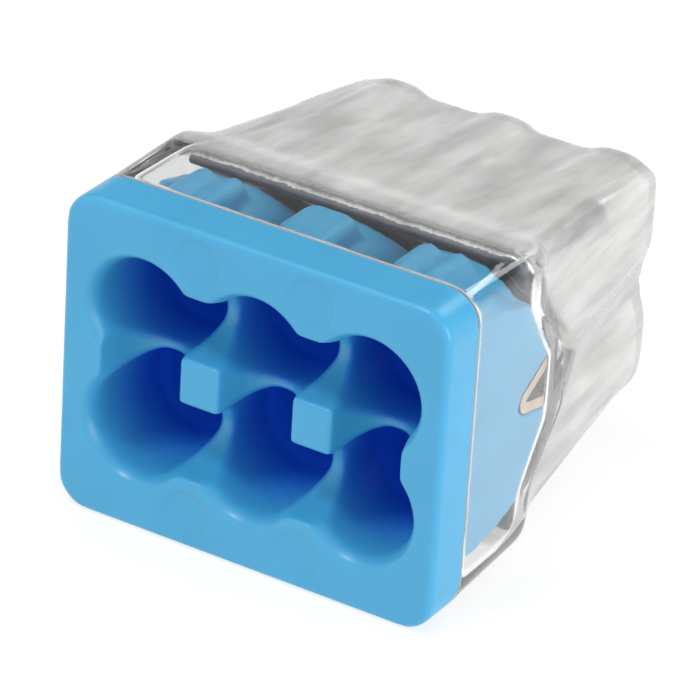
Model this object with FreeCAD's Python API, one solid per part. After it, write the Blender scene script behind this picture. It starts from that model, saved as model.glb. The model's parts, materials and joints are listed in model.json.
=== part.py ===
"""Six-way push-in wire connector: clear housing, coloured port cover, copper busbar and spring clamp.

The connector joins up to six solid conductors, three side by side in an upper row and three in a
lower row.  Each wire goes straight in through a funnel in the port cover.  Its bare end lifts a sprung
steel tongue and is clamped against the busbar that all six share.

Everything is drawn in working coordinates, in millimetres: x across the ports, depth back from the
port face and height from the plane between the two rows.  place() moves a finished solid into the
part's own frame, whose origin is the bottom centre of the whole connector, with +Z up and the port
face towards -Y.
"""
import FreeCAD, Part
import math
import os

Vector = FreeCAD.Vector

# Driving dimensions, millimetres and degrees.
COLUMN_PITCH = 4.5              # between neighbouring ports in a row
ROW_PITCH = 4.31                # between the two rows
COLUMNS = (-COLUMN_PITCH, 0.0, COLUMN_PITCH)
ROW_HEIGHT = ROW_PITCH / 2
WALL = 0.7                      # clear housing's usual wall
FIT_GAP = 0.05                  # clearance all round a fixed inner piece
SMALL_EDGE = 0.15               # moulded edge radius

# Port cover: front plate.
PLATE_HALF_WIDTH = 7.6
PLATE_HALF_HEIGHT = 6.1
PLATE_DEPTH = 1.95
PLATE_CORNER = 1.2
PLATE_EDGE = 0.2
MARK_RADIUS = 1.0               # round ejector pin marks on the face
MARK_DEPTH = 0.04
MARK_HEIGHT = 4.84

# Port cover: ports.
FLARE_RADIUS = 2.23             # at the face
FLARE_DEPTH = 0.5
BORE_RADIUS = 1.95              # takes insulation up to about 3.8 mm
BORE_END = 4.4
GUIDE_RADIUS = 1.2              # takes the bare conductor
GUIDE_START = 6.2
SADDLE_DEPTH = 2.4              # how far the dividers between ports are set back from the face
ROW_SADDLE_HALF = 1.31
COLUMN_SADDLE_HALF = 1.5
POST_DEPTH = 0.43               # the two posts between four ports stand this far behind the face
POST_HALF_WIDTH = 0.75
POST_HALF_HEIGHT = 0.83
POST_CORNER = 0.25

# Port cover: guide block behind the plate.
BLOCK_TOP = 4.55
BLOCK_SHOULDER_DEPTH = 5.7      # from here the block's back slopes in, clear of the spring tongues
BLOCK_REAR = 7.95
BLOCK_REAR_HALF = 1.35
SLAB_HALF = 3.1                 # the block is solid this far above and below the middle
TUBE_RADIUS = 2.45              # round each port, outside
CHEEK_INNER = 6.1               # the cheeks stand outside the tongues
CHEEK_OUTLINE = ((4.4, 4.35), (6.3, 3.8), (6.9, 2.95))
RIDGE_TOP = 5.2
RIDGE_END = 4.9
RIDGE_OFFSET = 0.6
RIDGE_RADIUS = 0.5
RIDGE_GROOVE = 0.22

# Clear housing: outside.
COLLAR_END = 6.5
COLLAR_HALF_WIDTH = 7.45
COLLAR_HALF_HEIGHT = 5.95
NECK_DEPTH = 7.6
NECK_HALF_WIDTH = 7.0
NECK_HALF_HEIGHT = 5.62
BACK_DEPTH = 16.9
BACK_HALF_WIDTH = 6.2
BACK_HALF_HEIGHT = 4.45
BACK_CORNER = 1.7
BACK_EDGE = 0.25
TOP_CORNER = 0.5                # the upper long edges are sharper than the lower ones
LOBE_START = 8.5
LOBE_END = 17.2
LOBE_HALF_WIDTH = 1.6
LOBE_CORNER = 1.3
LOBE_SINK = 0.05                # how far a lobe starts below the sloping top
LOBE_RISE = 0.25                # how far it stands above the top at the back
LOBE_EDGE = 0.5
WAIST_RADIUS = 2.5              # groove along each side, between the upper and lower lobes
WAIST_DEPTH = 0.5
WAIST_START = 8.5

# Clear housing: side pads, the flat cheeks over the busbar's ears.
PAD_ROOT_DEPTH = 5.8
PAD_ROOT_HALF = 4.6
PAD_NOSE_DEPTH = 8.8
PAD_NOSE_HALF = 1.1
PAD_CORNER = 0.9
PAD_HOLLOW_HALF = 1.35          # at the nose of the hollow inside

# Clear housing: inside.
CAVITY_CORNER = 0.15
CEILING_SLOPE_START = 5.0       # behind the ribs, where the hollow's ceiling starts to come down
CAVITY_STEP = 6.4
CAVITY_STEP_HALF_WIDTH = 6.65
CAVITY_STEP_HALF_HEIGHT = 5.1
CAVITY_END = 13.7
CAVITY_END_HALF_WIDTH = 5.7
CAVITY_END_HALF_HEIGHT = 4.1
POCKET_HALF_WIDTH = 1.1
POCKET_CORNER = 0.8
POCKET_BOTTOM = 0.75
POCKET_END = 16.6
POCKET_COVER = 0.6              # wall between a pocket and the top of its lobe

# Busbar: tin-plated copper sheet folded at the front.
BAR_THICKNESS = 0.4
BAR_BEND = 0.35                 # centreline radii
BAR_FOLD_BEND = 0.27
BAR_FOLD = (5.66, -0.08)        # where the middles of the two arms would meet, depth and height
BAR_UPPER_KNEE_DEPTH = 7.9
BAR_LOWER_KNEE_DEPTH = 9.0
BAR_LOWER_SHALLOW = (8.2, -0.62)
BAR_FLAT = 1.27                 # contact faces above and below the middle
BAR_REAR = 12.2
BAR_EAR_HALF = 6.68
BAR_EAR_END = 7.9
BAR_BODY_HALF = 5.75

# Spring clamp: spring steel strip bent to a C, with three tongues in each row.
STEEL = 0.3
FRONT_BEND = 0.2                # centreline radii of the bends
REAR_BEND = 0.8
SPRING_FRONT = 6.25             # depth of the front bends' centres
SPRING_BACK = 13.3
SPRING_HALF_WIDTH = 6.5         # at the front; the strip narrows behind, as the cavity does
SPRING_SIDE_GAP = 0.15          # beside the strip, for its square corners in the cavity's round ones
TONGUE_ANGLE = 42.0             # below the ports' axis, at rest
TONGUE_WIDTH = 3.1
TONGUE_LIP = 0.25               # straight stretch between the bend and the hinge line
TONGUE_REST_GAP = 0.06
HINGE_GAP = 0.04
WINDOW_HALF_WIDTH = 1.3         # in the spring's back, for the wire ends
WINDOW_LOW = 0.9
WINDOW_HIGH = 3.4

TOTAL_DEPTH = LOBE_END
TOTAL_HEIGHT = 2 * PLATE_HALF_HEIGHT
ROOF_SLOPE = (NECK_HALF_HEIGHT - BACK_HALF_HEIGHT) / (BACK_DEPTH - NECK_DEPTH)
LEAF_SLOPE = math.atan2(CAVITY_STEP_HALF_HEIGHT - CAVITY_END_HALF_HEIGHT, CAVITY_END - CAVITY_STEP)


def place(shape):
    """Move a solid from working coordinates to the part's frame."""
    moved = shape.copy()
    moved.translate(Vector(0, -TOTAL_DEPTH / 2, TOTAL_HEIGHT / 2))
    return moved


def mirror_rows(shape):
    """The same shape in the other row."""
    return shape.mirror(Vector(0, 0, 0), Vector(0, 0, 1))


def mirror_sides(shape):
    """The same shape on the other side."""
    return shape.mirror(Vector(0, 0, 0), Vector(1, 0, 0))


def box(x0, x1, depth0, depth1, height0, height1):
    """A plain block between the given limits."""
    return Part.makeBox(x1 - x0, depth1 - depth0, height1 - height0, Vector(x0, depth0, height0))


def rounded_section(depth, half_width, half_height, corner, top_corner=None, middle=(0, 0)):
    """A rectangle with round corners, across the connector at one depth."""
    upper = corner if top_corner is None else top_corner
    corners = ((1, 1, upper, 0), (-1, 1, upper, 90), (-1, -1, corner, 180), (1, -1, corner, 270))

    def on_corner(which, degrees):
        side, level, radius, start = which
        angle = math.radians(start + degrees)
        return Vector(middle[0] + side * (half_width - radius) + radius * math.cos(angle), depth,
                      middle[1] + level * (half_height - radius) + radius * math.sin(angle))

    edges = []
    for index, which in enumerate(corners):
        following = corners[(index + 1) % len(corners)]
        edges.append(Part.Arc(on_corner(which, 0), on_corner(which, 45), on_corner(which, 90)).toShape())
        edges.append(Part.LineSegment(on_corner(which, 90), on_corner(following, 0)).toShape())
    return Part.Wire(edges)


def upright_section(depth, column, half_width, low, high, corner):
    """A rounded rectangle between two heights in one column."""
    return rounded_section(depth, half_width, (high - low) / 2, corner, middle=(column, (high + low) / 2))


def loft(*sections):
    """A straight-sided solid through sections one behind the other."""
    return Part.makeLoft(list(sections), True, True)


def side_prism(outline, x0, x1):
    """Extrude an outline of (depth, height) points across the connector."""
    points = [Vector(x0, depth, height) for depth, height in outline]
    face = Part.Face(Part.makePolygon(points + points[:1]))
    return face.extrude(Vector(x1 - x0, 0, 0))


def both_rows_prism(upper, x0, x1):
    """Extrude an outline whose upper half is given, front to back, and whose lower half mirrors it."""
    lower = [(depth, -height) for depth, height in reversed(upper)]
    return side_prism(upper + lower, x0, x1)


def depth_cone(x, height, depth0, radius0, depth1, radius1):
    """A cone or cylinder whose axis runs along the depth."""
    start = Vector(x, depth0, height)
    if radius0 == radius1:
        return Part.makeCylinder(radius0, depth1 - depth0, start, Vector(0, 1, 0))
    return Part.makeCone(radius0, radius1, depth1 - depth0, start, Vector(0, 1, 0))


def bent_sheet(route, radii, thickness, x0, x1):
    """Sheet metal bent along a route of (depth, height) points, with one centreline radius per bend."""
    points = [Vector(0, depth, height) for depth, height in route]

    def left_of(direction):
        return Vector(0, -direction.z, direction.y)

    sides = []
    for side in (0.5 * thickness, -0.5 * thickness):
        edges = []
        along = (points[1] - points[0]).normalize()
        here = points[0] + left_of(along) * side
        for middle, following, radius in zip(points[1:], points[2:], radii):
            onward = (following - middle).normalize()
            turn = math.atan2(along.y * onward.z - along.z * onward.y, along.dot(onward))
            sense = 1 if turn > 0 else -1
            setback = radius * math.tan(abs(turn) / 2)
            centre = middle - along * setback + left_of(along) * (sense * radius)
            arc_radius = radius - sense * side
            start = centre - left_of(along) * (sense * arc_radius)
            end = centre - left_of(onward) * (sense * arc_radius)
            halfway = centre - (left_of(along) + left_of(onward)).normalize() * (sense * arc_radius)
            edges.append(Part.LineSegment(here, start).toShape())
            edges.append(Part.Arc(start, halfway, end).toShape())
            here = end
            along = onward
        last = points[-1] + left_of(along) * side
        edges.append(Part.LineSegment(here, last).toShape())
        sides.append(edges)
    front_cap = Part.LineSegment(sides[0][0].firstVertex().Point, sides[1][0].firstVertex().Point).toShape()
    rear_cap = Part.LineSegment(sides[0][-1].lastVertex().Point, sides[1][-1].lastVertex().Point).toShape()
    outline = Part.Wire(Part.__sortEdges__(sides[0] + sides[1] + [front_cap, rear_cap]))
    face = Part.Face(outline)
    face.translate(Vector(x0, 0, 0))
    return face.extrude(Vector(x1 - x0, 0, 0))


def one_solid(shape, name):
    """Tidy a shape and make sure that it is one closed, valid solid."""
    tidy = shape.removeSplitter()
    if len(tidy.Solids) != 1 or not tidy.Solids[0].isValid():
        raise ValueError("%s is %d solids, valid %s" % (name, len(tidy.Solids), tidy.isValid()))
    return tidy.Solids[0]


def roof_height(depth):
    """Height of the housing's sloping outer top at a depth behind the collar."""
    return NECK_HALF_HEIGHT - ROOF_SLOPE * (depth - NECK_DEPTH)


# Port cover -------------------------------------------------------------------------------------

def front_plate():
    """The face plate, with round corners and a rounded front edge."""
    plate = loft(rounded_section(0, PLATE_HALF_WIDTH, PLATE_HALF_HEIGHT, PLATE_CORNER),
                 rounded_section(PLATE_DEPTH, PLATE_HALF_WIDTH, PLATE_HALF_HEIGHT, PLATE_CORNER))
    front_edges = [edge for edge in plate.Edges if edge.BoundBox.YMax < PLATE_EDGE]
    return plate.makeFillet(PLATE_EDGE, front_edges)


def guide_block():
    """The body behind the plate: a slab, a tube round each port and two cheeks, clear of the tongues."""
    half_width = COLLAR_HALF_WIDTH - WALL - FIT_GAP
    start = PLATE_DEPTH - SMALL_EDGE
    rear = (BLOCK_REAR, BLOCK_REAR_HALF)
    tubes = [depth_cone(column, height, start, TUBE_RADIUS, BLOCK_REAR, TUBE_RADIUS)
             for column in COLUMNS for height in (-ROW_HEIGHT, ROW_HEIGHT)]
    slab = box(-half_width, half_width, start, BLOCK_REAR, -SLAB_HALF, SLAB_HALF)
    shoulder = (BLOCK_SHOULDER_DEPTH, BLOCK_TOP)
    limits = both_rows_prism([(start, BLOCK_TOP), shoulder, rear], -half_width, half_width)
    cheek = both_rows_prism([(start, BLOCK_TOP), *CHEEK_OUTLINE, rear], CHEEK_INNER, half_width)
    return slab.fuse(tubes).common(limits).fuse([cheek, mirror_sides(cheek)])


def guide_ridges(column):
    """The raised rib on one column's guide: twin round ridges, or one flat-topped rib in the middle."""
    start = PLATE_DEPTH - SMALL_EDGE
    centre_height = RIDGE_TOP - RIDGE_RADIUS
    half_width = RIDGE_OFFSET + RIDGE_RADIUS
    rib = box(column - half_width, column + half_width, start, RIDGE_END, BLOCK_TOP - WALL, centre_height)
    for x in (column - RIDGE_OFFSET, column + RIDGE_OFFSET):
        rib = rib.fuse(depth_cone(x, centre_height, start, RIDGE_RADIUS, RIDGE_END, RIDGE_RADIUS))
    fill_top = RIDGE_TOP if column == 0 else RIDGE_TOP - RIDGE_GROOVE
    fill = box(column - RIDGE_OFFSET, column + RIDGE_OFFSET, start, RIDGE_END, centre_height, fill_top)
    return rib.fuse(fill)


def port(column, height):
    """The space of one port: flare, insulation bore, funnel and conductor guide."""
    return (depth_cone(column, height, 0, FLARE_RADIUS, FLARE_DEPTH, BORE_RADIUS)
            .fuse(depth_cone(column, height, FLARE_DEPTH, BORE_RADIUS, BORE_END, BORE_RADIUS))
            .fuse(depth_cone(column, height, BORE_END, BORE_RADIUS, GUIDE_START, GUIDE_RADIUS))
            .fuse(depth_cone(column, height, GUIDE_START, GUIDE_RADIUS, BLOCK_REAR + WALL, GUIDE_RADIUS)))


def oval_groove(start, direction, length, half_width):
    """A groove of half-oval section across the face, as deep as the dividers are set back."""
    across = direction.cross(Vector(0, 1, 0))
    oval = Part.Ellipse(start + Vector(0, SADDLE_DEPTH, 0), start + across * half_width, start)
    face = Part.Face(Part.Wire([oval.toShape()]))
    return face.extrude(direction * length)


def saddles():
    """The grooves that set the dividers back between neighbouring ports."""
    row_length = 2 * COLUMN_PITCH
    cut = None
    for height in (-ROW_HEIGHT, ROW_HEIGHT):
        groove = oval_groove(Vector(-COLUMN_PITCH, 0, height), Vector(1, 0, 0), row_length, ROW_SADDLE_HALF)
        cut = groove if cut is None else cut.fuse(groove)
    for column in COLUMNS:
        lower_port = Vector(column, 0, -ROW_HEIGHT)
        cut = cut.fuse(oval_groove(lower_port, Vector(0, 0, 1), ROW_PITCH, COLUMN_SADDLE_HALF))
    return cut


def post_room(x):
    """The space in front of one post."""
    half_width = POST_HALF_WIDTH + SMALL_EDGE
    half_height = POST_HALF_HEIGHT + SMALL_EDGE
    return box(x - half_width, x + half_width, -POST_DEPTH, POST_DEPTH, -half_height, half_height)


def post(x):
    """One of the two square posts, each between four ports."""
    body = loft(rounded_section(POST_DEPTH, POST_HALF_WIDTH, POST_HALF_HEIGHT, POST_CORNER),
                rounded_section(SADDLE_DEPTH + SMALL_EDGE, POST_HALF_WIDTH, POST_HALF_HEIGHT, POST_CORNER))
    body.translate(Vector(x, 0, 0))
    return body


def folded_bar(thickness, half_width):
    """Sheet along the busbar's route, forward, round the fold and back, and the solid between its arms."""
    flat = BAR_FLAT - BAR_THICKNESS / 2
    route = [(BAR_REAR, flat), (BAR_UPPER_KNEE_DEPTH, flat), BAR_FOLD,
             BAR_LOWER_SHALLOW, (BAR_LOWER_KNEE_DEPTH, -flat), (BAR_REAR, -flat)]
    radii = (2 * BAR_BEND, BAR_FOLD_BEND, BAR_BEND, BAR_BEND)
    sheet = bent_sheet(route, radii, thickness, -half_width, half_width)
    return sheet, side_prism(route, -half_width, half_width)


def bar_notch():
    """Room in the guide block for the busbar's fold and for all that lies between its arms."""
    sheet, between = folded_bar(BAR_THICKNESS + 2 * FIT_GAP, PLATE_HALF_WIDTH)
    return sheet.fuse(between)


def port_cover():
    """The coloured cover: face plate, six funnels, two posts and the guide block."""
    cover = front_plate().fuse(guide_block())
    for column in COLUMNS:
        ridges = guide_ridges(column)
        cover = cover.fuse([ridges, mirror_rows(ridges)])
    for column in COLUMNS:
        for height in (-ROW_HEIGHT, ROW_HEIGHT):
            cover = cover.cut(port(column, height))
    cover = cover.cut(saddles()).cut(bar_notch())
    for x in (-COLUMN_PITCH / 2, COLUMN_PITCH / 2):
        cover = cover.cut(post_room(x)).fuse(post(x))
        for height in (-MARK_HEIGHT, MARK_HEIGHT):
            cover = cover.cut(depth_cone(x, height, -MARK_DEPTH, MARK_RADIUS, MARK_DEPTH, MARK_RADIUS))
    return one_solid(cover, "port_cover")


# Clear housing ----------------------------------------------------------------------------------

def housing_shell():
    """The outside: straight collar, short neck and tapering back."""
    front = rounded_section(PLATE_DEPTH, PLATE_HALF_WIDTH, PLATE_HALF_HEIGHT, PLATE_CORNER)
    collar_end = rounded_section(COLLAR_END, COLLAR_HALF_WIDTH, COLLAR_HALF_HEIGHT, PLATE_CORNER, TOP_CORNER)
    neck_end = rounded_section(NECK_DEPTH, NECK_HALF_WIDTH, NECK_HALF_HEIGHT, PLATE_CORNER, TOP_CORNER)
    rear = rounded_section(BACK_DEPTH, BACK_HALF_WIDTH, BACK_HALF_HEIGHT, BACK_CORNER, TOP_CORNER)
    back = loft(neck_end, rear)
    end_edges = [edge for edge in back.Edges if edge.BoundBox.YMin > BACK_DEPTH - WALL]
    back = back.makeFillet(BACK_EDGE, end_edges)
    return loft(front, collar_end).fuse([loft(collar_end, neck_end), back])


def side_waist():
    """The scoop along the right side between the lobes, deeper towards the back."""
    start = Vector(NECK_HALF_WIDTH + WAIST_RADIUS, WAIST_START, 0)
    end = Vector(BACK_HALF_WIDTH - WAIST_DEPTH + WAIST_RADIUS, LOBE_END, 0)
    return Part.makeCylinder(WAIST_RADIUS, (end - start).Length, start, end - start)


def lobe(column):
    """One upper lobe, the outside of a wire-end pocket, which grows out of the sloping top."""
    low = POCKET_BOTTOM - (LOBE_HALF_WIDTH - POCKET_HALF_WIDTH)
    sections = [upright_section(depth, column, LOBE_HALF_WIDTH, low, roof_height(depth) + rise, LOBE_CORNER)
                for depth, rise in ((LOBE_START, -LOBE_SINK), (LOBE_END, LOBE_RISE))]
    body = loft(*sections)
    end_edges = [edge for edge in body.Edges if edge.BoundBox.YMin > LOBE_END - LOBE_EDGE]
    return body.makeFillet(LOBE_EDGE, end_edges)


def side_pad():
    """The right cheek, whose outer face runs on from the collar's side."""
    pad = both_rows_prism([(PAD_ROOT_DEPTH, PAD_ROOT_HALF), (PAD_NOSE_DEPTH, PAD_NOSE_HALF)],
                          CAVITY_STEP_HALF_WIDTH, COLLAR_HALF_WIDTH)
    nose_edges = [edge for edge in pad.Edges
                  if edge.BoundBox.YMin > PAD_NOSE_DEPTH - SMALL_EDGE and edge.BoundBox.XLength > SMALL_EDGE]
    return pad.makeFillet(PAD_CORNER, nose_edges)


def pad_hollow():
    """The space inside the right cheek, for the busbar's ear."""
    nose = (PAD_NOSE_DEPTH - WALL, PAD_HOLLOW_HALF)
    return both_rows_prism([(PAD_ROOT_DEPTH, PAD_ROOT_HALF), nose], 0, COLLAR_HALF_WIDTH - WALL)


def pocket(column):
    """The space in one upper lobe, for the wire's end."""
    sections = [upright_section(depth, column, POCKET_HALF_WIDTH, POCKET_BOTTOM,
                                roof_height(depth) + LOBE_RISE - POCKET_COVER, POCKET_CORNER)
                for depth in (CAVITY_END - WALL, POCKET_END)]
    return loft(*sections)


def housing():
    """The clear housing, open at the front where the port cover closes it."""
    shell = housing_shell()
    waist = side_waist()
    shell = shell.cut([waist, mirror_sides(waist)])
    pad = side_pad()
    shell = shell.fuse([pad, mirror_sides(pad)])
    for column in COLUMNS:
        upper = lobe(column)
        shell = shell.fuse([upper, mirror_rows(upper)])
    inner_width = COLLAR_HALF_WIDTH - WALL
    inner_height = COLLAR_HALF_HEIGHT - WALL
    collar_hollow = loft(
        rounded_section(PLATE_DEPTH - FIT_GAP, inner_width, inner_height, CAVITY_CORNER),
        rounded_section(CEILING_SLOPE_START, inner_width, inner_height, CAVITY_CORNER))
    sloped_hollow = loft(
        rounded_section(CEILING_SLOPE_START, inner_width, inner_height, CAVITY_CORNER),
        rounded_section(CAVITY_STEP, inner_width, CAVITY_STEP_HALF_HEIGHT, CAVITY_CORNER))
    step_depth = CAVITY_STEP - FIT_GAP
    clamp_hollow = loft(
        rounded_section(step_depth, CAVITY_STEP_HALF_WIDTH, CAVITY_STEP_HALF_HEIGHT, CAVITY_CORNER),
        rounded_section(CAVITY_END, CAVITY_END_HALF_WIDTH, CAVITY_END_HALF_HEIGHT, CAVITY_CORNER))
    ear_hollow = pad_hollow()
    shell = shell.cut([collar_hollow, sloped_hollow, clamp_hollow, ear_hollow, mirror_sides(ear_hollow)])
    for column in COLUMNS:
        upper = pocket(column)
        shell = shell.cut([upper, mirror_rows(upper)])
    return one_solid(shell, "housing")


# Contacts ---------------------------------------------------------------------------------------

def busbar():
    """The shared current bar, folded at the front, with an ear at each end of the fold."""
    sheet, _ = folded_bar(BAR_THICKNESS, BAR_EAR_HALF)
    behind_ears = box(BAR_BODY_HALF, BAR_EAR_HALF + WALL, BAR_EAR_END, BAR_REAR + WALL,
                      -BAR_FLAT - WALL, BAR_FLAT + WALL)
    return one_solid(sheet.cut([behind_ears, mirror_sides(behind_ears)]), "busbar")


def tongue_direction():
    """Unit direction, in depth and height, in which an upper tongue points at rest."""
    angle = math.radians(TONGUE_ANGLE)
    return math.cos(angle), -math.sin(angle)


def front_bend_centre():
    """Centre of the upper front bend, in depth and height."""
    roof = CAVITY_STEP_HALF_HEIGHT - FIT_GAP
    return SPRING_FRONT, roof - STEEL / 2 - FRONT_BEND


def hinge_point():
    """Where an upper tongue starts, just past the front bend, in depth and height."""
    depth, height = front_bend_centre()
    along_depth, along_height = tongue_direction()
    return (depth + FRONT_BEND * along_height + TONGUE_LIP * along_depth,
            height - FRONT_BEND * along_depth + TONGUE_LIP * along_height)


def spring_frame():
    """The C-shaped strip: upper leaf, windowed back and lower leaf, with both front bends."""
    centre_depth, centre_height = front_bend_centre()
    leaf_start = (centre_depth + FRONT_BEND * math.sin(LEAF_SLOPE),
                  centre_height + FRONT_BEND * math.cos(LEAF_SLOPE))
    leaf_back_height = leaf_start[1] - (SPRING_BACK - leaf_start[0]) * math.tan(LEAF_SLOPE)
    along_depth, along_height = tongue_direction()
    hinge = hinge_point()
    end_gap = STEEL / 2 + HINGE_GAP
    lip_end = (hinge[0] - end_gap * along_depth, hinge[1] - end_gap * along_height)
    turn = math.pi - (math.radians(TONGUE_ANGLE) - LEAF_SLOPE)
    reach = FRONT_BEND * math.tan(turn / 2)
    apex = (leaf_start[0] - reach * math.cos(LEAF_SLOPE), leaf_start[1] + reach * math.sin(LEAF_SLOPE))
    upper = [lip_end, apex, (SPRING_BACK, leaf_back_height)]
    lower = [(depth, -height) for depth, height in reversed(upper)]
    radii = (FRONT_BEND, REAR_BEND, REAR_BEND, FRONT_BEND)
    strip = bent_sheet(upper + lower, radii, STEEL, -SPRING_HALF_WIDTH, SPRING_HALF_WIDTH)
    narrow = CAVITY_END_HALF_WIDTH - SPRING_SIDE_GAP
    wide = SPRING_HALF_WIDTH + WALL
    corners = [(SPRING_HALF_WIDTH, CAVITY_STEP), (wide, CAVITY_STEP), (wide, CAVITY_END),
               (narrow, CAVITY_END)]
    points = [Vector(x, depth, -PLATE_HALF_HEIGHT) for x, depth in corners]
    taper = Part.Face(Part.makePolygon(points + points[:1])).extrude(Vector(0, 0, TOTAL_HEIGHT))
    strip = strip.cut([taper, mirror_sides(taper)])
    for column in COLUMNS:
        window = box(column - WINDOW_HALF_WIDTH, column + WINDOW_HALF_WIDTH,
                     SPRING_BACK - STEEL, SPRING_BACK + STEEL, WINDOW_LOW, WINDOW_HIGH)
        strip = strip.cut([window, mirror_rows(window)])
    return one_solid(strip, "spring_frame")


def upper_tongue(column):
    """One sprung tongue of the upper row, with a round root on its hinge line and a round-cornered tip."""
    along_depth, along_height = tongue_direction()
    hinge = hinge_point()
    corner_drop = STEEL / 2 * along_depth
    length = (hinge[1] - BAR_FLAT - TONGUE_REST_GAP - corner_drop) / -along_height
    tip = (hinge[0] + length * along_depth, hinge[1] + length * along_height)
    left = column - TONGUE_WIDTH / 2
    plate = bent_sheet([hinge, tip], (), STEEL, left, left + TONGUE_WIDTH)
    tip_edges = [edge for edge in plate.Edges
                 if abs(edge.Length - STEEL) < FIT_GAP and edge.BoundBox.YMin > tip[0] - STEEL]
    plate = plate.makeFillet(2 * STEEL, tip_edges)
    root = Part.makeCylinder(STEEL / 2, TONGUE_WIDTH, Vector(left, hinge[0], hinge[1]), Vector(1, 0, 0))
    return one_solid(plate.fuse(root), "tongue")


def write_part(name, shape):
    """Export one node and print its size."""
    placed = place(shape)
    placed.exportStep("parts/%s.step" % name)
    bounds = placed.BoundBox
    print("%-18s volume %8.2f  x %.2f..%.2f  y %.2f..%.2f  z %.2f..%.2f" % (
        name, placed.Volume, bounds.XMin, bounds.XMax, bounds.YMin, bounds.YMax, bounds.ZMin, bounds.ZMax))


def main():
    os.makedirs("parts", exist_ok=True)
    write_part("housing", housing())
    write_part("port_cover", port_cover())
    write_part("busbar", busbar())
    write_part("spring_frame", spring_frame())
    for number, column in enumerate(COLUMNS, start=1):
        tongue = upper_tongue(column)
        write_part("upper_tongue_%d" % number, tongue)
        write_part("lower_tongue_%d" % number, mirror_rows(tongue))
    hinge = hinge_point()
    print("hinge line at y %.4f, z %.4f and %.4f" % (
        hinge[0] - TOTAL_DEPTH / 2, TOTAL_HEIGHT / 2 + hinge[1], TOTAL_HEIGHT / 2 - hinge[1]))


main()
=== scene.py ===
"""Looks of the six-way push-in wire connector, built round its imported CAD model.

The clear housing and the coloured port cover get their own meshes, evenly remeshed from the CAD solids
with every moulded edge rounded.  The busbar, the spring frame and the six tongues keep their CAD meshes
and get metal finishes.  Lengths are in metres.
"""

import json
import math

import bpy
import numpy as np
from mathutils import Matrix, Vector


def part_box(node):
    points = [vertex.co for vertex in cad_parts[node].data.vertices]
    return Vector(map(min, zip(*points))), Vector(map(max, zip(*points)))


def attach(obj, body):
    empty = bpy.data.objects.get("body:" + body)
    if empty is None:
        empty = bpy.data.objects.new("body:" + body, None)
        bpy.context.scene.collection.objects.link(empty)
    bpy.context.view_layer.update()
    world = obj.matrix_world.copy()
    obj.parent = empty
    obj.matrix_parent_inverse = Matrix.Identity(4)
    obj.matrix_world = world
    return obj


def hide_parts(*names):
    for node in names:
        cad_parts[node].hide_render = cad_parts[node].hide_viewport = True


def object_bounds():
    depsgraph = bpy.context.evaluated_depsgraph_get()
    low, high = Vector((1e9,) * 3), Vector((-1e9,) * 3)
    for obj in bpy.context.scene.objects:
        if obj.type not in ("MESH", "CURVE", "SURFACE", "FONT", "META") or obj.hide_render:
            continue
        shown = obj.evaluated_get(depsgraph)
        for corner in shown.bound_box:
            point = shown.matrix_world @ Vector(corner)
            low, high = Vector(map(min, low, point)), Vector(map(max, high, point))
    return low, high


MM = 0.001

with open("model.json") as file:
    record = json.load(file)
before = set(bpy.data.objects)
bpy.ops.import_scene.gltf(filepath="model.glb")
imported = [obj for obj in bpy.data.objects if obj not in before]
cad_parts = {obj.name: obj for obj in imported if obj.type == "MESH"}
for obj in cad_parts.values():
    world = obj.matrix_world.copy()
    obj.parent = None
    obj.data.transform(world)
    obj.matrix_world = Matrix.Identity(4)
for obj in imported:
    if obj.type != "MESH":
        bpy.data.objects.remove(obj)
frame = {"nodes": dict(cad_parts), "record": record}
cad_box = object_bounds()

# Camera: where it looks from, and the point of the object's middle plane that it looks at.
CAMERA_AZIMUTH = math.radians(30.27)
CAMERA_ELEVATION = math.radians(28.49)
CAMERA_ROLL = math.radians(3.61)
CAMERA_DISTANCE = 178.39 * MM
CAMERA_AIM = Vector((0, -1.98, 5.63)) * MM
CAMERA_LENS = 264.8             # millimetres
SENSOR_WIDTH = 36.0             # millimetres
NEAR_CLIP = 10 * MM
FAR_CLIP = 10.0

# Remeshing.
HOUSING_VOXEL = 0.125 * MM
COVER_VOXEL = 0.1 * MM
SMOOTHING_STEP = 0.5            # how far one pass moves a point towards its neighbours' middle
HOUSING_PASSES = 14             # smoothing passes over the housing's edges
COVER_PASSES = 4                # and over the cover's
LONG_EDGE_PASSES = 35           # further passes along the tapering back's long edges
LONG_EDGE_REACH = 1.5 * MM      # from an edge, where they work in full
LONG_EDGE_LIMIT = 2.1 * MM      # from an edge, where they stop
LIP_PASSES = 10                 # further passes over the ports' mouths and dividers
LIP_REACH = 0.7 * MM            # outside a port's bore, where they work in full
LIP_LIMIT = 1.2 * MM            # outside a port's bore, where they stop
LIP_DEPTH = 3.0 * MM            # behind the face, where they work in full
LIP_DEPTH_LIMIT = 4.0 * MM      # behind the face, where they stop
SEAM_GAP = 0.02 * MM            # between the housing's front rim and the cover's plate
RIM_KEEP = 0.15 * MM            # beside the seam, edges stay crisp

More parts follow.
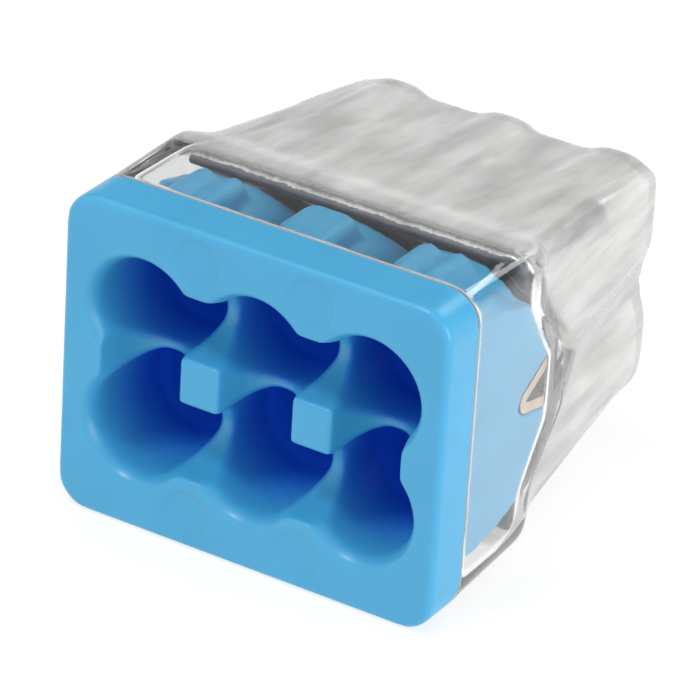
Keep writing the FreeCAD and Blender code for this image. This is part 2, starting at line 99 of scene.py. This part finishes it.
# The ports, from the record's mounts, and the cover's face and posts.
PORTS = [Vector(mount["pos_m"]) for mount in frame["record"]["mounts"]
         if mount["name"].startswith("wire_entry")]
MIDDLE_HEIGHT = sum(port.z for port in PORTS) / len(PORTS)
OUTER_COLUMN = max(port.x for port in PORTS)
UPPER_ROW = max(port.z for port in PORTS) - MIDDLE_HEIGHT
PORT_RADIUS = 1.95 * MM
PORT_WALL = 0.22 * MM           # the thinnest wall beside a port
GUIDE_RADIUS = 1.2 * MM         # further in, where a port takes only the bare conductor
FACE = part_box("port_cover")[0].y
FUNNEL_START = FACE + 4.8 * MM  # a little behind where each port's bore starts to narrow
FUNNEL_END = FACE + 6.6 * MM    # a little behind where it has narrowed to the guide
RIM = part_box("housing")[0].y
NECK = RIM + 4.55 * MM          # where the straight collar ends
CAVITY_END = RIM + 11.75 * MM   # where the hollow for the contacts ends
PAD_SLANT = 0.857               # how far the side pads' edges run back for each step towards the middle
HAZE_START = RIM + 8.5 * MM     # where the plastic turns hazy, in line with the side pads' noses
HAZE_END = RIM + 9.2 * MM
PORT_SHADE_DEPTH = 5.0 * MM     # behind the face, where the painted shade in a port is at its deepest blue
EAR_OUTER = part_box("busbar")[1].x
EAR_INNER = EAR_OUTER - 0.8 * MM        # nearer the middle than this, the busbar's edges are inside and are painted dark as shade
SIDE_TAPER = 1.4 * MM           # how far each side comes in from the collar to the back
TOP_TAPER = 1.65 * MM           # and the top and the underside
POST_HALF = 0.95 * MM           # a post and its edges, across and up
POST_HALF_LIMIT = 1.14 * MM     # from its middle, where its surroundings are smoothed in full
POST_REAR = 1.2 * MM            # behind the face, where a post and its edges end
POST_REAR_LIMIT = 1.8 * MM      # behind the face, where the divider is smoothed in full
MARK_HEIGHT = 4.84 * MM         # above and below the middle, level with the posts across
MARK_RADIUS = 1.0 * MM
MARK_EDGE = 0.12 * MM           # width of the soft step round a mark
MARK_DEPTH = 0.07 * MM

# Finishes: how large the patches, streaks and grain of each surface are, and how strong.
NOISE_LOW = 0.3                 # most of a noise lies between these two
NOISE_HIGH = 0.7
NOISE_DETAIL = 3.0

# Clear plastic.
FLOW_SIZE = 1.6 * MM
STREAK_SIZE = 0.75 * MM
FROST_SIZE = 0.5 * MM
RIPPLE_DEPTH = 0.02 * MM
STREAK_RIPPLES = 2.0            # how much stronger the streaks bend the hazy surface than the flow does
CLEAR_TRANSMISSION = 0.99
HAZY_TRANSMISSION = 0.55
CLEAR_FROST = 0.15              # share of the frosting that is left where the plastic is clear

# Coloured plastic.
CLOUD_SIZE = 4 * MM
SATIN_SIZE = 0.6 * MM
GLOW_DEPTH = 0.8 * MM           # how far light spreads inside it

# Steel.
ROLLING_SIZE = 0.9 * MM
ROLLING_DEPTH = 0.03 * MM
RAGGED_SIZE = 0.1 * MM          # breaks in the painted highlight line along a bend
RAGGED_SWING = 0.05

# Tinned copper.
TIN_SIZE = 0.8 * MM
WEAR_SIZE = 0.2 * MM

# Stage.
FLOOR_REACH = 1.5               # each way from the middle
FLOOR_GAP = 0.02 * MM           # below the object
FLOOR_TONE = 0.25
FLOOR_GLOW = 0.75
WORLD_STRENGTH = 0.95
WORLD_BANDS = ((0.0, 1.0), (0.15, 0.95), (0.44, 0.1), (0.70, 0.15), (0.85, 1.0))  # height, brightness
WORLD_BACK = ((0.1, 0.0), (0.35, 1.0))  # how far a direction points to the back, share of the bands
LAMPS = (                       # name, place, width and power in watts
    ("key", (-0.06, -0.12, 0.28), 0.06, 0.25),
    ("fill", (0.28, 0.0, 0.08), 0.16, 0.42),
    ("back", (0.05, 0.25, 0.18), 0.10, 0.15),
)


# Meshes -----------------------------------------------------------------------------------------

def evenly_meshed(node, name, voxel):
    """A new object with a CAD node's surface as an even mesh of small quads."""
    piece = bpy.data.objects.new(name, frame["nodes"][node].data.copy())
    bpy.context.collection.objects.link(piece)
    piece.data.transform(Matrix.Scale(1 / MM, 4))
    remesh = piece.modifiers.new("even", "REMESH")
    remesh.mode = "VOXEL"
    remesh.voxel_size = voxel / MM
    graph = bpy.context.evaluated_depsgraph_get()
    mesh = bpy.data.meshes.new_from_object(piece.evaluated_get(graph))
    mesh.transform(Matrix.Scale(MM, 4))
    piece.modifiers.clear()
    piece.data = mesh
    mesh.shade_smooth()
    return piece


def read_points(mesh):
    """The mesh's vertices as rows of x, y and z."""
    points = np.empty(len(mesh.vertices) * 3)
    mesh.vertices.foreach_get("co", points)
    return points.reshape(-1, 3)


def write_points(mesh, points):
    """Move the mesh's vertices to the given rows."""
    mesh.vertices.foreach_set("co", points.ravel())
    mesh.update()


def smoothed(mesh, points, passes, weight):
    """The points, each moved towards the middle of its neighbours as far as its weight, 0 to 1, lets it."""
    ends = np.empty(len(mesh.edges) * 2, dtype=int)
    mesh.edges.foreach_get("vertices", ends)
    first, second = ends.reshape(-1, 2).T
    count = len(points)
    neighbours = np.bincount(ends, minlength=count)
    for _ in range(passes):
        middle = np.empty_like(points)
        for axis in range(3):
            total = np.bincount(first, points[second, axis], count)
            total += np.bincount(second, points[first, axis], count)
            middle[:, axis] = total / neighbours
        points = points + (middle - points) * (SMOOTHING_STEP * weight)[:, None]
    return points


def fade(values, full, none):
    """1 where a value is at or before full, 0 at or past none, and smooth between them."""
    share = np.clip((none - values) / (none - full), 0, 1)
    return share * share * (3 - 2 * share)


def long_edge_weight(points):
    """1 at the long edges of the tapering back, inside and out, and 0 away from them."""
    lowest, highest = (np.array(corner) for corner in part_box("housing"))
    middle = (lowest + highest) / 2
    half = highest - middle
    behind = 1 - fade(points[:, 1], NECK, NECK + LONG_EDGE_REACH)
    before = fade(points[:, 1], CAVITY_END - LONG_EDGE_REACH, CAVITY_END)
    share = (points[:, 1] - NECK) / (highest[1] - NECK)
    side = half[0] - share * SIDE_TAPER - np.abs(points[:, 0] - middle[0])
    top = half[2] - share * TOP_TAPER - np.abs(points[:, 2] - middle[2])
    corner = fade(np.maximum(side, top), LONG_EDGE_REACH, LONG_EDGE_LIMIT)
    return behind * before * corner


def off_seam_weight(points):
    """0 beside the seam between the housing and the cover's plate, and 1 away from it."""
    return 1 - fade(np.abs(points[:, 1] - RIM), RIM_KEEP, 2 * RIM_KEEP)


def clear_housing():
    """The clear housing, with rounded edges and a fine gap to the cover's plate."""
    piece = evenly_meshed("housing", "clear_housing", HOUSING_VOXEL)
    points = read_points(piece.data)
    points = smoothed(piece.data, points, HOUSING_PASSES, off_seam_weight(points))
    points = smoothed(piece.data, points, LONG_EDGE_PASSES, long_edge_weight(points))
    points[:, 1] = np.maximum(points[:, 1], RIM + SEAM_GAP)
    write_points(piece.data, points)
    return piece


def port_lip_weight(points):
    """How freely each point of the cover is smoothed: 1 at the ports' mouths, 0 on the posts."""
    nearest = np.full(len(points), np.inf)
    for port in PORTS:
        nearest = np.minimum(nearest, np.hypot(points[:, 0] - port.x, points[:, 2] - port.z))
    around_ports = fade(nearest, PORT_RADIUS + LIP_REACH, PORT_RADIUS + LIP_LIMIT)
    near_face = fade(points[:, 1] - FACE, LIP_DEPTH, LIP_DEPTH_LIMIT)
    across = np.abs(np.abs(points[:, 0]) - OUTER_COLUMN / 2)
    up = np.abs(points[:, 2] - MIDDLE_HEIGHT)
    around_post = fade(np.maximum(across, up), POST_HALF, POST_HALF_LIMIT)
    beside_post = fade(points[:, 1] - FACE, POST_REAR, POST_REAR_LIMIT)
    return around_ports * near_face * (1 - around_post * beside_post)


def pressed_marks(points):
    """The points, with the round marks of the ejector pins pressed into the cover's face."""
    across = np.abs(points[:, 0]) - OUTER_COLUMN / 2
    up = np.abs(points[:, 2] - MIDDLE_HEIGHT) - MARK_HEIGHT
    off_centre = np.hypot(across, up)
    depth = MARK_DEPTH * fade(off_centre, MARK_RADIUS - MARK_EDGE, MARK_RADIUS)
    in_mark = (points[:, 1] < FACE + 2 * MARK_DEPTH) & (off_centre < MARK_RADIUS + MARK_EDGE)
    pressed = points.copy()
    pressed[in_mark, 1] = FACE + depth[in_mark]
    return pressed


def port_cover():
    """The coloured cover, with soft lips round the ports and soft noses on the dividers between them."""
    piece = evenly_meshed("port_cover", "blue_port_cover", COVER_VOXEL)
    points = read_points(piece.data)
    points = smoothed(piece.data, points, COVER_PASSES, off_seam_weight(points))
    points = smoothed(piece.data, points, LIP_PASSES, port_lip_weight(points))
    points = pressed_marks(points)
    write_points(piece.data, points)
    return piece


# Finishes ---------------------------------------------------------------------------------------

def new_finish(name):
    """A material, its node tree and its main shader."""
    material = bpy.data.materials.new(name)
    material.use_nodes = True
    tree = material.node_tree
    return material, tree, tree.nodes["Principled BSDF"]


def noise(tree, size, stretch=(1, 1, 1)):
    """Noise whose features are about size metres, longer by stretch along each axis."""
    place = tree.nodes.new("ShaderNodeTexCoord")
    mapping = tree.nodes.new("ShaderNodeMapping")
    mapping.inputs["Scale"].default_value = [1 / (size * factor) for factor in stretch]
    texture = tree.nodes.new("ShaderNodeTexNoise")
    texture.inputs["Scale"].default_value = 1.0
    texture.inputs["Detail"].default_value = NOISE_DETAIL
    tree.links.new(place.outputs["Object"], mapping.inputs["Vector"])
    tree.links.new(mapping.outputs["Vector"], texture.inputs["Vector"])
    return texture.outputs["Fac"]


def spread(tree, value, low, high):
    """A noise's value, spread over low to high."""
    ranged = tree.nodes.new("ShaderNodeMapRange")
    ranged.inputs["From Min"].default_value = NOISE_LOW
    ranged.inputs["From Max"].default_value = NOISE_HIGH
    ranged.inputs["To Min"].default_value = low
    ranged.inputs["To Max"].default_value = high
    tree.links.new(value, ranged.inputs["Value"])
    return ranged.outputs["Result"]


def toned(tree, value, tones):
    """A colour that follows a value through the given places and colours."""
    ramp = tree.nodes.new("ShaderNodeValToRGB")
    while len(ramp.color_ramp.elements) < len(tones):
        ramp.color_ramp.elements.new(1.0)
    for element, (place, colour) in zip(ramp.color_ramp.elements, tones):
        element.position = place
        element.color = (*colour, 1)
    tree.links.new(value, ramp.inputs["Fac"])
    return ramp.outputs["Color"]


def two_tones(tree, value, dark, light):
    """A colour between dark and light that follows a noise's value."""
    return toned(tree, value, ((NOISE_LOW, dark), (NOISE_HIGH, light)))


def grey(tone):
    """A colour without hue."""
    return (tone, tone, tone)


def bumped(tree, height, depth):
    """A normal bent by height, whose full swing is depth metres."""
    bump = tree.nodes.new("ShaderNodeBump")
    bump.inputs["Strength"].default_value = 1.0
    bump.inputs["Distance"].default_value = depth
    tree.links.new(height, bump.inputs["Height"])
    return bump.outputs["Normal"]


def blended(tree, share, low, high):
    """A colour that goes from low to high as share goes from 0 to 1."""
    mix = tree.nodes.new("ShaderNodeMix")
    mix.data_type = "RGBA"
    tree.links.new(share, mix.inputs["Factor"])
    for colour, socket in ((low, mix.inputs["A"]), (high, mix.inputs["B"])):
        if isinstance(colour, tuple):
            socket.default_value = (*colour, 1)
        else:
            tree.links.new(colour, socket)
    return mix.outputs["Result"]


def coordinate(tree, kind, axis):
    """One axis of a texture coordinate of the given kind."""
    source = tree.nodes.new("ShaderNodeTexCoord")
    split = tree.nodes.new("ShaderNodeSeparateXYZ")
    tree.links.new(source.outputs[kind], split.inputs["Vector"])
    return split.outputs[axis]


def position(tree, axis):
    """Where a point of the piece lies along one axis of the frame, in metres."""
    return coordinate(tree, "Object", axis)


def calculated(tree, operation, *values):
    """One step of arithmetic on values that are numbers or sockets."""
    step = tree.nodes.new("ShaderNodeMath")
    step.operation = operation
    for value, socket in zip(values, step.inputs):
        if isinstance(value, (int, float)):
            socket.default_value = value
        else:
            tree.links.new(value, socket)
    return step.outputs["Value"]


def eased(tree, value, start, end, low, high):
    """A value that goes smoothly from low to high as another goes from start to end."""
    ranged = tree.nodes.new("ShaderNodeMapRange")
    ranged.interpolation_type = "SMOOTHSTEP"
    for name, limit in (("From Min", start), ("From Max", end), ("To Min", low), ("To Max", high)):
        ranged.inputs[name].default_value = limit
    tree.links.new(value, ranged.inputs["Value"])
    return ranged.outputs["Result"]


def distance_from(tree, value, place):
    """How far a value is from a place, either way."""
    return calculated(tree, "ABSOLUTE", calculated(tree, "SUBTRACT", value, place))


def facing(tree, axis):
    """How far the surface faces along one of the piece's own axes, either way, from 0 to 1."""
    return calculated(tree, "ABSOLUTE", coordinate(tree, "Normal", axis))


def haziness(tree):
    """0 where the housing is clear, rising to 1 behind the slanting edges of its side pads."""
    height = distance_from(tree, position(tree, "Z"), MIDDLE_HEIGHT)
    behind_pads = calculated(tree, "MULTIPLY_ADD", height, PAD_SLANT, position(tree, "Y"))
    return eased(tree, behind_pads, HAZE_START, HAZE_END, 0.0, 1.0)


def between(tree, share, low, high):
    """A value that goes straight from low to high as share goes from 0 to 1."""
    return calculated(tree, "MULTIPLY_ADD", share, high - low, low)


def lamps_pass(tree, shader, colour):
    """Let the lamps' light through the surface, tinted, instead of casting a shadow."""
    lamp_path = tree.nodes.new("ShaderNodeLightPath")
    passing = tree.nodes.new("ShaderNodeBsdfTransparent")
    passing.inputs["Color"].default_value = (*colour, 1)
    mix = tree.nodes.new("ShaderNodeMixShader")
    tree.links.new(lamp_path.outputs["Is Shadow Ray"], mix.inputs["Fac"])
    tree.links.new(shader.outputs["BSDF"], mix.inputs[1])
    tree.links.new(passing.outputs["BSDF"], mix.inputs[2])
    tree.links.new(mix.outputs["Shader"], tree.nodes["Material Output"].inputs["Surface"])


def clear_plastic():
    """Polycarbonate, clear in the collar, milky and streaked behind it, with a dull, opaque front rim."""
    material, tree, shader = new_finish("clear_polycarbonate")
    shader.inputs["IOR"].default_value = 1.5
    flow = noise(tree, FLOW_SIZE, stretch=(1, 3, 1))
    streaks = noise(tree, STREAK_SIZE, stretch=(1, 6, 1))
    haze = haziness(tree)
    clear_colour = two_tones(tree, flow, (0.95, 0.95, 0.94), (0.985, 0.985, 0.98))
    hazy_colour = two_tones(tree, streaks, (0.55, 0.54, 0.53), (0.86, 0.855, 0.85))
    body_colour = blended(tree, haze, clear_colour, hazy_colour)
    rim_colour = (0.28, 0.22, 0.19)
    off_rim = eased(tree, position(tree, "Y"), RIM, RIM + RIM_KEEP, 0.0, 1.0)
    tree.links.new(blended(tree, off_rim, rim_colour, body_colour), shader.inputs["Base Color"])
    clearness = between(tree, haze, CLEAR_TRANSMISSION, HAZY_TRANSMISSION)
    tree.links.new(calculated(tree, "MULTIPLY", off_rim, clearness), shader.inputs["Transmission Weight"])
    frosting = between(tree, haze, CLEAR_FROST, 1.0)
    grain = spread(tree, noise(tree, FROST_SIZE), 0.14, 0.26)
    tree.links.new(calculated(tree, "MULTIPLY", frosting, grain), shader.inputs["Roughness"])
    streak_share = calculated(tree, "MULTIPLY", haze, STREAK_RIPPLES)
    ripples = calculated(tree, "MULTIPLY_ADD", streak_share, streaks, flow)
    tree.links.new(bumped(tree, ripples, RIPPLE_DEPTH), shader.inputs["Normal"])
    lamps_pass(tree, shader, (0.72, 0.72, 0.71))
    return material


def port_shade_mask(tree):
    """Where the ports' painted shade goes: 0 on the cover's face and outside, rising to 1 deep inside its
    ports.
    """
    off_centre = distance_from(tree, position(tree, "X"), 0.0)
    across = calculated(tree, "MINIMUM", off_centre, distance_from(tree, off_centre, OUTER_COLUMN))
    up = distance_from(tree, distance_from(tree, position(tree, "Z"), MIDDLE_HEIGHT), UPPER_ROW)
    squares = calculated(tree, "MULTIPLY_ADD", across, across, calculated(tree, "MULTIPLY", up, up))
    radius = eased(tree, position(tree, "Y"), FUNNEL_START, FUNNEL_END, PORT_RADIUS, GUIDE_RADIUS)
    off_wall = calculated(tree, "SUBTRACT", calculated(tree, "SQRT", squares), radius)
    in_port = eased(tree, off_wall, PORT_WALL / 3, PORT_WALL, 1.0, 0.0)
    depth = eased(tree, position(tree, "Y"), FACE, FACE + PORT_SHADE_DEPTH, 0.0, 1.0)
    return calculated(tree, "MULTIPLY", in_port, depth)


def blue_plastic():
    """Satin sky-blue moulded plastic, with painted shade making it a deeper blue inside the ports."""
    material, tree, shader = new_finish("blue_moulded_plastic")
    cloud = noise(tree, CLOUD_SIZE)
    open_blue = two_tones(tree, cloud, (0.045, 0.325, 0.56), (0.055, 0.35, 0.60))
    # Painted shade: the deep, dark blue inside the ports is painted into the colour.
    painted_port_shade_blue = (0.005, 0.11, 0.70)
    tree.links.new(blended(tree, port_shade_mask(tree), open_blue, painted_port_shade_blue), shader.inputs["Base Color"])
    tree.links.new(spread(tree, noise(tree, SATIN_SIZE), 0.29, 0.39), shader.inputs["Roughness"])
    shader.inputs["Subsurface Weight"].default_value = 0.12
    shader.inputs["Subsurface Radius"].default_value = (0.3, 0.6, 1.0)
    shader.inputs["Subsurface Scale"].default_value = GLOW_DEPTH
    return material


def rolled_steel():
    """Bright rolled spring steel, with painted shade where it is bent or sloped and a broken painted
    highlight line between.
    """
    material, tree, shader = new_finish("rolled_spring_steel")
    shader.inputs["Metallic"].default_value = 1.0
    streaks = noise(tree, ROLLING_SIZE, stretch=(1, 5, 1))
    unevenness = spread(tree, noise(tree, RAGGED_SIZE), -RAGGED_SWING, RAGGED_SWING)
    ragged = calculated(tree, "ADD", facing(tree, "Z"), unevenness)
    # Painted shade on the sloped and bent steel, and a painted highlight along the bend, both set by which
    # way the surface faces.
    painted_slope_shade = (0.055, 0.06, 0.08)
    painted_bend_highlight = (1.0, 1.0, 0.98)
    plain = (0.50, 0.49, 0.48)
    steel = toned(tree, ragged, ((0.78, painted_slope_shade), (0.83, painted_bend_highlight), (0.91, painted_bend_highlight), (0.95, plain)))
    tree.links.new(steel, shader.inputs["Base Color"])
    tree.links.new(spread(tree, streaks, 0.29, 0.42), shader.inputs["Roughness"])
    tree.links.new(bumped(tree, streaks, ROLLING_DEPTH), shader.inputs["Normal"])
    return material


def tinned_copper():
    """Tin-plated copper sheet: the ears' cut edges show bare copper, and the edges further in are painted
    dark as shade.
    """
    material, tree, shader = new_finish("tinned_copper_sheet")
    shader.inputs["Metallic"].default_value = 1.0
    clouds = noise(tree, TIN_SIZE)
    tin = two_tones(tree, clouds, (0.60, 0.58, 0.55), (0.72, 0.70, 0.67))
    copper = two_tones(tree, clouds, (0.62, 0.47, 0.38), (0.78, 0.66, 0.56))
    off_centre = distance_from(tree, position(tree, "X"), 0.0)
    on_ear = eased(tree, off_centre, EAR_INNER, EAR_OUTER, 0.0, 1.0)
    # Painted shade: the busbar's edges further in are painted dark; only the ears' edges show their copper.
    painted_inner_shade = (0.12, 0.11, 0.10)
    copper_and_painted_shade = blended(tree, on_ear, painted_inner_shade, copper)
    tree.links.new(blended(tree, facing(tree, "X"), tin, copper_and_painted_shade), shader.inputs["Base Color"])
    tree.links.new(spread(tree, noise(tree, WEAR_SIZE), 0.28, 0.45), shader.inputs["Roughness"])
    return material


def dress(piece, material):
    """Give a piece one material in all its slots."""
    if not piece.data.materials:
        piece.data.materials.append(material)
    for slot in piece.material_slots:
        slot.material = material


# Stage ------------------------------------------------------------------------------------------

def camera():
    """The camera, at the photograph's angle."""
    data = bpy.data.cameras.new("camera")
    data.lens = CAMERA_LENS
    data.sensor_width = SENSOR_WIDTH
    data.clip_start = NEAR_CLIP
    data.clip_end = FAR_CLIP
    across = Vector((math.cos(CAMERA_AZIMUTH), math.sin(CAMERA_AZIMUTH), 0))
    forward = Vector((0, 0, 1)).cross(across)
    back = Vector((0, 0, 1)) * math.sin(CAMERA_ELEVATION) - forward * math.cos(CAMERA_ELEVATION)
    upright = back.cross(across)
    turned = Matrix((across, upright, back)).transposed() @ Matrix.Rotation(CAMERA_ROLL, 3, "Z")
    eye = bpy.data.objects.new("camera", data)
    eye.matrix_world = Matrix.Translation(CAMERA_AIM + back * CAMERA_DISTANCE) @ turned.to_4x4()
    bpy.context.collection.objects.link(eye)
    bpy.context.scene.camera = eye


def soft_box(name, place, width, power):
    """A square lamp that faces the object."""
    data = bpy.data.lights.new(name, "AREA")
    data.size = width
    data.energy = power
    lamp = bpy.data.objects.new(name, data)
    lamp.location = place
    lamp.rotation_mode = "QUATERNION"
    lamp.rotation_quaternion = (Vector(place) - CAMERA_AIM).to_track_quat("Z", "Y")
    bpy.context.collection.objects.link(lamp)


def floor():
    """A plain pale floor, faintly lit from below as a light table is."""
    mesh = bpy.data.meshes.new("floor")
    signs = ((-1, -1), (1, -1), (1, 1), (-1, 1))
    corners = [(across * FLOOR_REACH, along * FLOOR_REACH, 0) for across, along in signs]
    mesh.from_pydata(corners, [], [(0, 1, 2, 3)])
    slab = bpy.data.objects.new("floor", mesh)
    slab.location.z = cad_box[0].z - FLOOR_GAP
    bpy.context.collection.objects.link(slab)
    material, _, shader = new_finish("pale_floor")
    shader.inputs["Base Color"].default_value = (*grey(FLOOR_TONE), 1)
    shader.inputs["Roughness"].default_value = 0.6
    shader.inputs["Emission Color"].default_value = (*grey(1), 1)
    shader.inputs["Emission Strength"].default_value = FLOOR_GLOW
    dress(slab, material)


def surroundings():
    """A white studio, whose backdrop ends above the object and leaves a dim band behind and over it."""
    world = bpy.data.worlds.new("studio")
    bpy.context.scene.world = world
    world.use_nodes = True
    tree = world.node_tree
    light = tree.nodes["Background"]
    upward = coordinate(tree, "Generated", "Z")
    backward = coordinate(tree, "Generated", "Y")
    by_height = toned(tree, upward, [(place, grey(tone)) for place, tone in WORLD_BANDS])
    behind = toned(tree, backward, [(place, grey(tone)) for place, tone in WORLD_BACK])
    tree.links.new(blended(tree, behind, grey(1.0), by_height), light.inputs["Color"])
    light.inputs["Strength"].default_value = WORLD_STRENGTH


def build():
    """Everything in the scene."""
    camera()
    floor()
    surroundings()
    for name, place, width, power in LAMPS:
        soft_box(name, place, width, power)
    bpy.context.scene.view_settings.view_transform = "Standard"

    housing = clear_housing()
    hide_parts("housing")
    dress(housing, clear_plastic())
    cover = port_cover()
    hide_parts("port_cover")
    dress(cover, blue_plastic())
    for piece in (housing, cover):
        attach(piece, "connector")

    steel = rolled_steel()
    for name, node in frame["nodes"].items():
        if name == "spring_frame" or "tongue" in name:
            dress(node, steel)
    dress(frame["nodes"]["busbar"], tinned_copper())


build()
